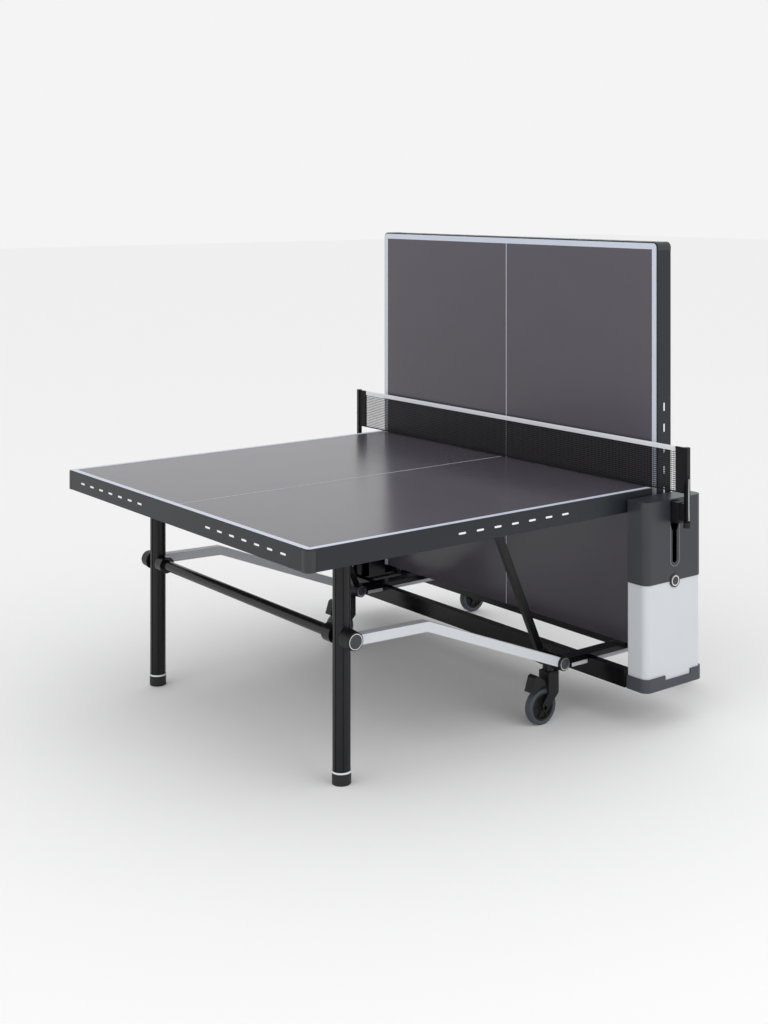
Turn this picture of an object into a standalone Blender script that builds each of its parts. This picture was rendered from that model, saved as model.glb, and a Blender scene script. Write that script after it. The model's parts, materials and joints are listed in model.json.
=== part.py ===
"""Outdoor ping pong table in its playback position, in metres, +Z up.

X runs across the table, Y along it. The near half (-Y) lies flat, the far half (+Y) stands raised.
Each half is drawn once, flat, in its own frame: x across, y = distance outward from the net plane.
"""
import math

import bmesh
import bpy
from mathutils import Matrix, Vector

NAME = "ping_pong_table"

# ---- driving dimensions -------------------------------------------------------------------------
TABLE_WIDTH = 1.525
HALF_LENGTH = 1.370
PLAY_HEIGHT = 0.760
NET_HEIGHT = 0.1525
NET_OVERHANG = 0.1525

BOARD_THICK = 0.015
APRON_DEPTH = 0.065
APRON_WALL = 0.022
APRON_CORNER = 0.018
APRON_LIP = 0.004             # the apron shows this much outside the board
APRON_STEP = 0.0015           # and stands this much below the playing surface
NET_SIDE_GAP = 0.005          # from the net plane to each half's inner end
RAIL_DEPTH = 0.014
RAIL_WIDTH = 0.030
RAIL_X = 0.300

FOLD_Y = 0.060                # fold pivot, outward from the net plane
FOLD_DROP = 0.040             # fold pivot below the playing surface
GLIDE_TRAVEL = 0.456          # how far the pivot sinks while a half is raised
FOLD_PIN_R = 0.007

LEG_X = 0.567
LEG_Y = 1.120
LEG_SIZE = 0.054               # across the fluted round profile
FLUTE_DEPTH = 0.002
FLUTE_MOUTH = 5.0             # half angles of a flute, in degrees
FLUTE_FLOOR = 3.0
FLUTE_ANGLES = (25, 74, 106, 155, 205, 254, 286, 335)
LEG_HINGE_DROP = 0.050        # leg hinge below the playing surface
LEG_TOP = 0.020                # above its hinge
LEG_HUB_Z = 0.433
FOOT_HEIGHT = 0.035
FOOT_R = 0.0285
FOOT_RING = 0.006             # pale ring between foot and leg
FOOT_ROUND = 0.002
CROSSBAR_R = 0.0175
COLLAR_R = 0.028
COLLAR_LENGTH = 0.040

ARM_SLAB = 0.034              # arm thickness across the table
ARM_HEIGHT = 0.030
ARM_KNEE_Y = 0.845
ARM_KNEE_Z = 0.425
HUB_R = 0.027
HUB_LENGTH = 0.041
BASE_HUB_Y = 0.285           # arm and strut pivot on the base
BASE_HUB_Z = 0.202
BASE_HUB_R = 0.023
PIVOT_PIN_R = 0.008
HINGE_PIN_R = 0.006
STRUT_THICK = 0.018
STRUT_WIDTH = 0.025
STRUT_HUB_OUT = 0.018         # the strut's round hub, inward of the strut
LUG_THICK = 0.006
LUG_HALF = 0.018              # half of a lug's length along the board
LUG_BEAM_HALF = 0.014
LUG_EDGE = 0.016              # metal of a lug below its hole
LEG_BRACKET = 0.006           # wall of the leg's bracket
LEG_BRACKET_HALF = 0.028
LEG_BRACKET_EDGE = 0.022
LEG_BRACKET_GAP = 0.002
BEAM_GAP = 0.016              # between the leg and the beam behind it
LEG_BEAM_WIDTH = 0.028
HUB_CAP = 0.012               # end of an arm's hub beyond its pin
BASE_CAP = 0.010              # end of an arm's lower hub beyond its bore

TUBE_Y = 0.130
TUBE_WIDTH = 0.030
TUBE_BOTTOM = 0.130
FAR_TUBE_BOTTOM = 0.146
TUBE_TOP = 0.188
SIDE_RAIL_WIDTH = 0.050
SIDE_RAIL_BOTTOM = 0.170
SIDE_RAIL_TOP = 0.200

COVER_GAP = 0.0125            # between the table's side and the inner side of a cover
COVER_DEPTH = 0.083
COVER_HALF_Y = 0.135
COVER_CORNER = 0.026
COVER_WALL = 0.003
COVER_STEP = 0.003            # how far the lower cover stands back from the upper one
COVER_DROP = 0.020            # cover's top below the playing surface
COVER_SPLIT = 0.472
TRAY_TOP = 0.170
TRAY_BOTTOM = 0.127
TRAY_LIP = 0.002
TRAY_SEAT_DEPTH = 0.018       # how far the lower cover sits in the tray
NOTCH_DEPTH = 0.016
NOTCH_LOW_Y = -0.045
NOTCH_HIGH_Y = 0.075
SLOT_WIDTH = 0.040
SLOT_NARROW = 0.022
SLOT_TAPER = 0.020            # height of the slope between the two widths
SLOT_DEPTH = 0.210            # from the cover's top to the slot's round end
SLOT_WIDE_DEPTH = 0.085       # and to where it narrows
GUIDE_INSET = 0.012           # guide post behind the cover's inner side
GUIDE_DEPTH = 0.040
GUIDE_HALF_Y = 0.100
POST_SLOT_HALF = 0.018        # half of the gap that the net bracket's arm sits in
TRACK_DEPTH = 0.026
TRACK_WIDTH = 0.038
TRACK_FLOOR = 0.012
CARRIAGE_TALL = 0.062
CARRIAGE_ABOVE = 0.012        # carriage above its pivot
CARRIAGE_OUT = 0.008          # and how far it stands out of the track
SLIDING = 0.0015              # room on each side of a carriage in its track

CASTER_X = 0.575
CASTER_Y = 0.297
CASTER_TRAIL = 0.038
WHEEL_R = 0.0585
WHEEL_WIDTH = 0.032
AXLE_R = 0.006
AXLE_END = 0.002
TYRE_ROUND = 0.004
FORK_PLATE = 0.005
CROWN_HALF = 0.022            # half of the fork's crown
PEDAL_Y = 0.033               # brake pedal's hinge, outward of the swivel and above the wheel
PEDAL_Z = 0.137
PEDAL_HALF = 0.017
STEM_R = 0.007
STEM_LENGTH = 0.022
STEM_HOUSING_R = 0.021

POST_X = TABLE_WIDTH / 2 + NET_OVERHANG - 0.003
POST_SIZE = 0.016
POST_DROP = 0.088             # post's lower end below the playing surface
POST_EDGE = 0.002
POST_RISE = 0.002             # post above the net
KNOB_R = 0.012
KNOB_TALL = 0.018
BRACKET_INSET = 0.020
BRACKET_TALL = 0.056
BRACKET_RISE = 0.002
NET_THICK = 0.002
NET_TAPE = 0.016
NET_FLOOR_GAP = 0.002         # net's lower cord above the playing surface

GAP = 0.0003                  # between faces that touch
RUNNING = 0.0007              # radial room in a hole that turns on a pin
CLEAR = 0.003                 # between pieces that pass each other
CUT = 0.020                   # how far a cutting shape runs past what it cuts
JOIN = 0.010                  # and how far a joined shape runs into its neighbour

# ---- places worked out from the sizes -----------------------------------------------------------
HALF_WIDTH = TABLE_WIDTH / 2
COVER_IN = HALF_WIDTH + COVER_GAP
COVER_TOP = PLAY_HEIGHT - COVER_DROP
SLOT_BOTTOM = COVER_TOP - SLOT_DEPTH
SLOT_NECK = COVER_TOP - SLOT_WIDE_DEPTH
POST_BOTTOM = PLAY_HEIGHT - POST_DROP
BOARD_BOTTOM = PLAY_HEIGHT - BOARD_THICK
APRON_BOTTOM = PLAY_HEIGHT - APRON_DEPTH
FOLD_Z = PLAY_HEIGHT - FOLD_DROP
TRAY_SEAT = TRAY_TOP - TRAY_SEAT_DEPTH
LEG_HINGE_Z = PLAY_HEIGHT - LEG_HINGE_DROP
ARM_IN = LEG_X + LEG_SIZE / 2 + CLEAR
STRUT_OUT = LEG_X - LEG_SIZE / 2 - 2 * CLEAR
STRUT_IN = STRUT_OUT - STRUT_THICK
COVER_OUT = COVER_IN + COVER_DEPTH
NET_Z0 = PLAY_HEIGHT + NET_FLOOR_GAP
NET_Z1 = PLAY_HEIGHT + NET_HEIGHT
BRACKET_Z1 = COVER_TOP - COVER_WALL - 2 * CLEAR
FAR_REACH = CASTER_Y + CASTER_TRAIL + WHEEL_R
NET_Y = (HALF_LENGTH - FAR_REACH) / 2      # brings the box's middle over the origin

# ---- scene --------------------------------------------------------------------------------------
for old in list(bpy.data.objects):
    bpy.data.objects.remove(old, do_unlink=True)
parts = bpy.data.collections.new(NAME)
cutters = bpy.data.collections.new(NAME + "_cutters")
for made in (parts, cutters):
    bpy.context.scene.collection.children.link(made)


def strut_top():
    """Distance of the strut's top along the board from the fold pivot, with the strut as long
    when the half is raised as when it is flat."""
    rise = LEG_HINGE_Z - BASE_HUB_Z
    flat_y = FOLD_Y - BASE_HUB_Y
    raised_y = FOLD_Y + FOLD_Z - LEG_HINGE_Z - BASE_HUB_Y
    raised_z = FOLD_Z - GLIDE_TRAVEL - BASE_HUB_Z
    return (flat_y ** 2 + rise ** 2 - raised_y ** 2 - raised_z ** 2) / (2 * (raised_z - flat_y))


STRUT_TOP_S = strut_top()


def material(name, color, roughness, metallic=0.0):
    """A Principled material of one colour."""
    mat = bpy.data.materials.new(name)
    mat.use_nodes = True
    shader = mat.node_tree.nodes["Principled BSDF"]
    shader.inputs["Base Color"].default_value = (*color, 1.0)
    shader.inputs["Roughness"].default_value = roughness
    shader.inputs["Metallic"].default_value = metallic
    return mat


MATERIALS = {
    "board": material("board", (0.27, 0.27, 0.31), 0.45),
    "apron": material("apron", (0.035, 0.045, 0.055), 0.45, 0.6),
    "black_steel": material("black_steel", (0.012, 0.012, 0.013), 0.4, 0.3),
    "leg_profile": material("leg_profile", (0.018, 0.018, 0.020), 0.3, 0.8),
    "silver": material("silver", (0.68, 0.70, 0.72), 0.35, 0.5),
    "black_plastic": material("black_plastic", (0.015, 0.015, 0.016), 0.5),
    "grey_cover": material("grey_cover", (0.09, 0.11, 0.13), 0.5),
    "light_cover": material("light_cover", (0.60, 0.62, 0.66), 0.45),
    "tray": material("tray", (0.07, 0.07, 0.085), 0.5),
    "tyre": material("tyre", (0.06, 0.065, 0.075), 0.7),
    "net_mesh": material("net_mesh", (0.02, 0.02, 0.022), 0.8),
    "net_tape": material("net_tape", (0.75, 0.76, 0.78), 0.7),
}


# ---- shapes -------------------------------------------------------------------------------------
def mesh_of(build):
    """A bmesh filled in by a function, as a new mesh."""
    bm = bmesh.new()
    build(bm)
    mesh = bpy.data.meshes.new("shape")
    bm.to_mesh(mesh)
    bm.free()
    return mesh


def box(low, high):
    """A box between two corners."""
    low, high = Vector(low), Vector(high)

    def build(bm):
        bmesh.ops.create_cube(bm, size=1.0)
        bmesh.ops.scale(bm, vec=high - low, verts=bm.verts)
        bmesh.ops.translate(bm, vec=(low + high) / 2, verts=bm.verts)
    return mesh_of(build)


def rod(radius, start, end, sides=28):
    """A round bar between two points."""
    start, end = Vector(start), Vector(end)
    turn = (end - start).to_track_quat("Z", "Y").to_matrix().to_4x4()

    def build(bm):
        bmesh.ops.create_cone(bm, cap_ends=True, segments=sides, radius1=radius, radius2=radius,
                              depth=(end - start).length)
        bmesh.ops.transform(bm, matrix=Matrix.Translation((start + end) / 2) @ turn, verts=bm.verts)
    return mesh_of(build)


def plate(outline, axis, low, high):
    """A flat outline of (a, b) points, extruded along axis X, Y or Z from low to high."""
    place = {"X": lambda a, b, c: (c, a, b), "Y": lambda a, b, c: (a, c, b),
             "Z": lambda a, b, c: (a, b, c)}[axis]

    def build(bm):
        face = bm.faces.new([bm.verts.new(place(a, b, low)) for a, b in outline])
        grown = bmesh.ops.extrude_face_region(bm, geom=[face])
        moved = [v for v in grown["geom"] if isinstance(v, bmesh.types.BMVert)]
        bmesh.ops.translate(bm, vec=place(0, 0, high - low), verts=moved)
        bmesh.ops.recalc_face_normals(bm, faces=bm.faces)
    return mesh_of(build)


def arc(center, radius, start, end, steps=8):
    """Points on an arc, angles in degrees."""
    return [(center[0] + radius * math.cos(math.radians(start + (end - start) * i / steps)),
             center[1] + radius * math.sin(math.radians(start + (end - start) * i / steps)))
            for i in range(steps + 1)]


def bar_outline(points, width):
    """Both edges of a bent flat bar along a centre line, with mitred bends and square ends."""
    left, right = [], []
    for i, point in enumerate(points):
        before = Vector(point) - Vector(points[max(i - 1, 0)])
        after = Vector(points[min(i + 1, len(points) - 1)]) - Vector(point)
        before = (before if before.length else after).normalized()
        after = (after if after.length else before).normalized()
        mid = (before + after).normalized()
        reach = width / 2 / mid.dot(before)
        side = Vector((-mid.y, mid.x)) * reach
        left.append(tuple(Vector(point) + side))
        right.append(tuple(Vector(point) - side))
    return left + right[::-1]


def add(name, mesh, mat, parent, smooth=True):
    """A named node of the object."""
    obj = bpy.data.objects.new(name, mesh)
    mesh.materials.clear()
    mesh.materials.append(MATERIALS[mat])
    parts.objects.link(obj)
    obj.parent = parent
    if smooth:
        mesh.shade_smooth()
        mesh.set_sharp_from_angle(angle=math.radians(35))
    return obj


def combine(obj, meshes, operation):
    """Join to or cut from a node, exactly, with helper objects kept in the cutters' collection."""
    for mesh in meshes:
        tool = bpy.data.objects.new(obj.name + "_tool", mesh)
        cutters.objects.link(tool)
        tool.parent = obj.parent
        tool.hide_render = True
        tool.display_type = "WIRE"
        step = obj.modifiers.new(operation.lower(), "BOOLEAN")
        step.operation = operation
        step.object = tool
    return obj


def soften(obj, width, segments=2, angle=40):
    """Rounded edges."""
    bevel = obj.modifiers.new("edges", "BEVEL")
    bevel.width = width
    bevel.segments = segments
    bevel.limit_method = "ANGLE"
    bevel.angle_limit = math.radians(angle)
    return obj


def empty(name, place, parent=None, turn=(0, 0, 0)):
    """A joint's axis or a sub-assembly's frame."""
    obj = bpy.data.objects.new(name, None)
    bpy.context.scene.collection.objects.link(obj)
    obj.parent = parent
    obj.location = place
    obj.rotation_euler = turn
    return obj


def away(mesh, pivot):
    """Move a mesh drawn in its half's flat frame so that the pivot is its origin."""
    mesh.transform(Matrix.Translation(-Vector(pivot)))
    return mesh


def mirrored(mesh, axis):
    """Mirror a mesh across a plane through the origin, faces kept outward."""
    mesh.transform(Matrix.Scale(-1, 4, Vector([1.0 if a == axis else 0.0 for a in "XYZ"])))
    mesh.flip_normals()
    return mesh


root = empty("table", (0, NET_Y, 0))


# ---- base: frame, trays, covers, guide posts, hub castings --------------------------------------
def cover_outline(inset, half_y, inner):
    """The D-shaped plan of a cover, on the +X side."""
    corner = COVER_CORNER - inset
    out, half = COVER_OUT - inset, half_y - inset
    return ([(inner, -half)] + arc((out - corner, -half + corner), corner, -90, 0)
            + arc((out - corner, half - corner), corner, 0, 90) + [(inner, half)])


def base_frame():
    """Welded frame: two cross tubes that end at the trays and two side rails that end at the hubs."""
    reach = COVER_IN - TRAY_LIP - GAP
    rail_end = BASE_HUB_Y - BASE_HUB_R - GAP
    y0, y1 = TUBE_Y - TUBE_WIDTH / 2, TUBE_Y + TUBE_WIDTH / 2
    frame = add("base_frame", box((-reach, y0, FAR_TUBE_BOTTOM), (reach, y1, TUBE_TOP)), "black_steel", root)
    rails = [box((-reach, -y1, TUBE_BOTTOM), (reach, -y0, TUBE_TOP))]
    for side in (-1, 1):
        rails.append(box((side * CASTER_X - SIDE_RAIL_WIDTH / 2, -rail_end, SIDE_RAIL_BOTTOM),
                         (side * CASTER_X + SIDE_RAIL_WIDTH / 2, rail_end, SIDE_RAIL_TOP)))
    combine(frame, rails, "UNION")


def tray(side, tag):
    inner = COVER_IN - TRAY_LIP
    outline = [(a + (TRAY_LIP if a > inner else 0), b) for a, b in
               cover_outline(0, COVER_HALF_Y + TRAY_LIP, inner)]
    mesh = plate(outline, "Z", TRAY_BOTTOM, TRAY_TOP)
    notch = box((COVER_OUT - CUT, NOTCH_LOW_Y, TRAY_TOP - NOTCH_DEPTH),
                (COVER_OUT + CUT, NOTCH_HIGH_Y, TRAY_TOP + CUT))
    pocket = plate(cover_outline(COVER_STEP - GAP, COVER_HALF_Y, inner - CUT), "Z", TRAY_SEAT, TRAY_TOP + CUT)
    shapes = [mesh, notch, pocket]
    if side < 0:
        shapes = [mirrored(shape, "X") for shape in shapes]
    node = add(f"tray_{tag}", shapes[0], "tray", root)
    combine(node, shapes[1:], "DIFFERENCE")


def slot_outline():
    """The slot for the net bracket: wide at the top, narrowed to a round-ended track."""
    wide, narrow = SLOT_WIDTH / 2, SLOT_NARROW / 2
    top = COVER_TOP - COVER_WALL - CLEAR
    return ([(-wide, top), (-wide, SLOT_NECK), (-narrow, SLOT_NECK - SLOT_TAPER)]
            + arc((0, SLOT_BOTTOM + narrow), narrow, 180, 360)
            + [(narrow, SLOT_NECK - SLOT_TAPER), (wide, SLOT_NECK), (wide, top)])


def cover(side, tag, level):
    """A three-sided shell: outer face and both ends, open towards the table."""
    if level == "upper":
        low, high, roof, inset = COVER_SPLIT + GAP, COVER_TOP, COVER_TOP - COVER_WALL, 0.0
    else:
        low, high, roof, inset = TRAY_SEAT + GAP, COVER_SPLIT, COVER_SPLIT + CUT, COVER_STEP
    mesh = plate(cover_outline(inset, COVER_HALF_Y, COVER_IN), "Z", low, high)
    hollow = plate(cover_outline(inset + COVER_WALL, COVER_HALF_Y, COVER_IN - CUT), "Z", low - CUT, roof)
    shapes = [mesh, hollow]
    if level == "upper":
        shapes.append(plate(slot_outline(), "X", COVER_OUT - CUT, COVER_OUT + CUT))
    if side < 0:
        shapes = [mirrored(shape, "X") for shape in shapes]
    colour = "grey_cover" if level == "upper" else "light_cover"
    node = add(f"cover_{level}_{tag}", shapes[0], colour, root)
    combine(node, shapes[1:], "DIFFERENCE")


def guide_post(side, tag):
    """A post with one vertical track for each half's carriage, open towards the table."""
    x0 = COVER_IN + GUIDE_INSET
    top = COVER_TOP - COVER_WALL - GAP
    foot = TRAY_SEAT + GAP
    shapes = [box((x0, -GUIDE_HALF_Y, foot), (x0 + GUIDE_DEPTH, GUIDE_HALF_Y, top))]
    for y in (-FOLD_Y, FOLD_Y):
        shapes.append(box((x0 - CUT, y - TRACK_WIDTH / 2, foot + TRACK_FLOOR),
                          (x0 + TRACK_DEPTH, y + TRACK_WIDTH / 2, top + CUT)))
    shapes.append(box((x0 - CUT, -POST_SLOT_HALF, SLOT_NECK - 2 * SLOT_TAPER),
                      (x0 + GUIDE_DEPTH + CUT, POST_SLOT_HALF, top + CUT)))
    if side < 0:
        shapes = [mirrored(shape, "X") for shape in shapes]
    node = add(f"guide_post_{tag}", shapes[0], "black_steel", root, smooth=False)
    combine(node, shapes[1:], "DIFFERENCE")


def hub_casting(side, end, tag):
    """The casting at a side rail's end: caster housing and arm pivot."""
    x0, x1 = LEG_X - LEG_SIZE / 2, LEG_X + LEG_SIZE / 2
    y, z = end * BASE_HUB_Y, BASE_HUB_Z
    stem_y = end * CASTER_Y
    pin_out = ARM_IN + HUB_LENGTH - HUB_CAP
    node = add(f"hub_casting_{tag}", rod(BASE_HUB_R, (side * x0, y, z), (side * x1, y, z)),
               "black_steel", root)
    joined = [rod(STEM_HOUSING_R, (side * CASTER_X, stem_y, SIDE_RAIL_BOTTOM), (side * CASTER_X, stem_y, z)),
              rod(PIVOT_PIN_R, (side * (x1 - JOIN), y, z), (side * pin_out, y, z), 24)]
    combine(node, joined, "UNION")
    combine(node, [rod(STEM_R + RUNNING, (side * CASTER_X, stem_y, SIDE_RAIL_BOTTOM - CUT),
                       (side * CASTER_X, stem_y, SIDE_RAIL_BOTTOM + STEM_LENGTH + RUNNING), 24)],
            "DIFFERENCE")


# ---- casters ------------------------------------------------------------------------------------
def caster(side, end, tag):
    """Swivel fork with its wheel and brake pedal; the wheel trails outward."""
    swivel = empty(f"swivel_{tag}", (side * CASTER_X, end * CASTER_Y, 0), root)
    y, z = end * CASTER_TRAIL, WHEEL_R
    inner = WHEEL_WIDTH / 2 + CLEAR
    outer = inner + FORK_PLATE
    top = SIDE_RAIL_BOTTOM - GAP
    crown = WHEEL_R * 2 + CLEAR

    cheek = [(-end * CROWN_HALF, top), (-end * CROWN_HALF, z + 0.040), (y - end * 0.012, z - 0.010),
             (y + end * 0.008, z - 0.010), (y + end * 0.012, z + 0.010), (end * CROWN_HALF, z + 0.045),
             (end * CROWN_HALF, top)]
    fork = add(f"caster_fork_{tag}", plate(cheek, "X", inner, outer), "black_plastic", swivel)
    combine(fork, [plate(cheek, "X", -outer, -inner),
                   box((-outer, -CROWN_HALF + GAP, crown), (outer, CROWN_HALF - GAP, top)),
                   rod(STEM_R, (0, 0, top - JOIN), (0, 0, top + STEM_LENGTH), 24),
                   rod(AXLE_R, (-outer - AXLE_END, y, z), (outer + AXLE_END, y, z), 24)], "UNION")

    axle = empty(f"axle_{tag}", (0, y, z), swivel)
    half = WHEEL_WIDTH / 2
    wheel = add(f"wheel_{tag}", rod(WHEEL_R, (-half, 0, 0), (half, 0, 0), 40), "tyre", axle)
    soften(wheel, TYRE_ROUND, 1)
    combine(wheel, [rod(AXLE_R + RUNNING, (-outer, 0, 0), (outer, 0, 0), 24)], "DIFFERENCE")

    pedal_y = end * PEDAL_Y
    pedal = empty(f"pedal_axis_{tag}", (0, pedal_y, PEDAL_Z), swivel)
    tread = [(-0.006, -0.010), (0.012, -0.010), (0.050, -0.026), (0.060, -0.022), (0.045, 0.024),
             (0.034, 0.030), (0.000, 0.008)]
    add(f"brake_pedal_{tag}", plate([(end * a, b) for a, b in tread], "X", -PEDAL_HALF, PEDAL_HALF),
        "black_plastic", pedal)


# ---- net ----------------------------------------------------------------------------------------
def net_end(side, tag):
    """A bracket that stands in the cover's slot, with the net's post and its clamp knob."""
    x_in, x_out = side * (COVER_IN + BRACKET_INSET), side * (POST_X - POST_SIZE / 2 - GAP)
    arm = SLOT_NARROW / 2 - CLEAR
    low = BRACKET_Z1 - BRACKET_TALL
    bracket = add(f"net_bracket_{tag}",
                  box(sorted_low(x_in, x_out, -arm, low), sorted_high(x_in, x_out, arm, BRACKET_Z1)),
                  "black_plastic", root)
    x_in, x_out = side * (COVER_OUT + GAP), side * (POST_X - POST_SIZE * 1.5)
    head = SLOT_WIDTH / 2 - CLEAR
    combine(bracket, [box(sorted_low(x_in, x_out, -head, low - JOIN),
                          sorted_high(x_in, x_out, head, BRACKET_Z1 + BRACKET_RISE))], "UNION")
    half = POST_SIZE / 2
    post = add(f"net_post_{tag}", box((side * POST_X - half, -half, POST_BOTTOM),
                                      (side * POST_X + half, half, NET_Z1 + POST_RISE)),
               "black_plastic", root)
    soften(post, POST_EDGE)
    knob_top = POST_BOTTOM - GAP
    add(f"post_knob_{tag}", rod(KNOB_R, (side * POST_X, 0, knob_top - KNOB_TALL),
                                (side * POST_X, 0, knob_top), 32), "black_plastic", root)


def net():
    reach = POST_X - POST_SIZE / 2 - GAP
    add("net", box((-reach, -NET_THICK / 2, NET_Z0), (reach, NET_THICK / 2, NET_Z1 - NET_TAPE - GAP)),
        "net_mesh", root)
    add("net_tape", box((-reach, -NET_THICK, NET_Z1 - NET_TAPE), (reach, NET_THICK, NET_Z1)),
        "net_tape", root)


def sorted_low(xa, xb, y, z):
    return min(xa, xb), y, z


def sorted_high(xa, xb, y, z):
    return max(xa, xb), y, z


# ---- one half of the table ----------------------------------------------------------------------
def half_board(prefix, end, top):
    """Board and apron frame, in the flat frame about the fold pivot."""
    pivot = (0, FOLD_Y, FOLD_Z)
    edge = APRON_WALL
    low, high = NET_SIDE_GAP, HALF_LENGTH
    r = APRON_CORNER
    rim = APRON_LIP

    def plan(x, y0, y1, corner):
        return ([(-x, y0), (x, y0)] + arc((x - corner, y1 - corner), corner, 0, 90, 6)
                + arc((-x + corner, y1 - corner), corner, 90, 180, 6))

    def place(mesh):
        away(mesh, pivot)
        return mirrored(mesh, "Y") if end < 0 else mesh

    add(f"{prefix}_board", place(plate(plan(HALF_WIDTH - rim, low, high - rim, r - rim), "Z",
                                       BOARD_BOTTOM, PLAY_HEIGHT)), "board", top)
    frame = add(f"{prefix}_apron_frame",
                place(plate(plan(HALF_WIDTH, low, high, r), "Z", APRON_BOTTOM, PLAY_HEIGHT - APRON_STEP)),
                "apron", top)
    seat = place(plate(plan(HALF_WIDTH - rim + GAP, low - CUT, high - rim + GAP, r - rim + GAP), "Z",
                       BOARD_BOTTOM - GAP, PLAY_HEIGHT + CUT))
    hollow = place(box((-HALF_WIDTH + edge, low + edge, APRON_BOTTOM - CUT),
                       (HALF_WIDTH - edge, high - edge, BOARD_BOTTOM)))
    combine(frame, [seat, hollow], "DIFFERENCE")
    rail_z0, rail_z1 = BOARD_BOTTOM - GAP - RAIL_DEPTH, BOARD_BOTTOM - GAP
    beam = LEG_Y + LEG_SIZE / 2 + BEAM_GAP
    lug_y = FOLD_Y + STRUT_TOP_S
    lug_x = STRUT_IN - CLEAR      # outer face of the strut's lug
    joined = [box((-HALF_WIDTH + edge / 2, beam, rail_z0),
                  (HALF_WIDTH - edge / 2, beam + LEG_BEAM_WIDTH, rail_z1)),
              box((-lug_x, lug_y - LUG_BEAM_HALF, rail_z0), (lug_x, lug_y + LUG_BEAM_HALF, rail_z1))]
    holes = []
    for side in (-1, 1):
        joined.append(box((side * RAIL_X - RAIL_WIDTH / 2, low + edge / 2, rail_z0),
                          (side * RAIL_X + RAIL_WIDTH / 2, high - edge / 2, rail_z1)))
        x0, x1 = side * (lug_x - LUG_THICK), side * lug_x
        joined.append(box(sorted_low(x0, x1, lug_y - LUG_HALF, LEG_HINGE_Z - LUG_EDGE),
                          sorted_high(x0, x1, lug_y + LUG_HALF, rail_z1)))
        beside = LEG_SIZE / 2 + LEG_BRACKET_GAP
        for wall in (LEG_X - beside - LEG_BRACKET, LEG_X + beside):
            x0, x1 = side * wall, side * (wall + LEG_BRACKET)
            joined.append(box(sorted_low(x0, x1, LEG_Y - LEG_BRACKET_HALF, LEG_HINGE_Z - LEG_BRACKET_EDGE),
                              sorted_high(x0, x1, beam + LEG_BEAM_WIDTH / 2, rail_z1)))
        for radius, inside, outside, y, z in (
                (FOLD_PIN_R, HALF_WIDTH - edge - CUT, HALF_WIDTH + CUT, FOLD_Y, FOLD_Z),
                (HINGE_PIN_R, lug_x - CUT, lug_x + CUT, lug_y, LEG_HINGE_Z),
                (HINGE_PIN_R, LEG_X - LEG_SIZE, LEG_X + LEG_SIZE, LEG_Y, LEG_HINGE_Z)):
            holes.append(rod(radius + RUNNING, (side * inside, y, z), (side * outside, y, z), 24))
    combine(frame, [place(mesh) for mesh in joined], "UNION")
    combine(frame, [place(mesh) for mesh in holes], "DIFFERENCE")


def half_carriages(prefix, glide):
    """The blocks that run in the guide posts' tracks, each with its half's fold pin."""
    half = TRACK_WIDTH / 2 - SLIDING
    for side, tag in ((-1, "left"), (1, "right")):
        x0 = COVER_IN + GUIDE_INSET - CARRIAGE_OUT
        x1 = COVER_IN + GUIDE_INSET + TRACK_DEPTH - SLIDING
        block = add(f"{prefix}_carriage_{tag}",
                    box(sorted_low(side * x0, side * x1, -half, CARRIAGE_ABOVE - CARRIAGE_TALL),
                        sorted_high(side * x0, side * x1, half, CARRIAGE_ABOVE)),
                    "black_steel", glide)
        combine(block, [rod(FOLD_PIN_R, (side * (HALF_WIDTH - APRON_WALL + CLEAR), 0, 0),
                            (side * (x0 + JOIN), 0, 0), 24)], "UNION")


def half_legs(prefix, legs):
    """Fluted round legs on their hinge pins, the crossbar with collars, and the feet."""
    half = LEG_SIZE / 2
    bottom = FOOT_HEIGHT + FOOT_RING
    profile = []
    for before, after in zip((FLUTE_ANGLES[-1] - 360,) + FLUTE_ANGLES[:-1], FLUTE_ANGLES):
        profile += arc((0, 0), half, before + FLUTE_MOUTH, after - FLUTE_MOUTH, 4)
        profile += arc((0, 0), half - FLUTE_DEPTH, after - FLUTE_FLOOR, after + FLUTE_FLOOR, 1)
    for side, tag in ((-1, "left"), (1, "right")):
        column = plate(profile, "Z", bottom - LEG_HINGE_Z, LEG_TOP)
        column.transform(Matrix.Translation((side * LEG_X, 0, 0)))
        leg = add(f"{prefix}_leg_{tag}", column, "leg_profile", legs)
        pin = half + LEG_BRACKET_GAP + LEG_BRACKET - GAP
        combine(leg, [rod(HINGE_PIN_R, (side * LEG_X - pin, 0, 0), (side * LEG_X + pin, 0, 0), 24)], "UNION")
        foot = empty(f"{prefix}_foot_axis_{tag}", (side * LEG_X, 0, -LEG_HINGE_Z), legs)
        cap = add(f"{prefix}_foot_{tag}", rod(FOOT_R, (0, 0, 0), (0, 0, bottom - GAP), 32),
                  "black_plastic", foot)
        soften(cap, FOOT_ROUND, 1)
    z = LEG_HUB_Z - LEG_HINGE_Z
    x = LEG_X - half - GAP
    bar = add(f"{prefix}_leg_crossbar", rod(CROSSBAR_R, (-x, 0, z), (x, 0, z), 32), "black_steel", legs)
    combine(bar, [rod(COLLAR_R, (x - COLLAR_LENGTH, 0, z), (x, 0, z), 32),
                  rod(COLLAR_R, (-x, 0, z), (-x + COLLAR_LENGTH, 0, z), 32)], "UNION")


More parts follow.
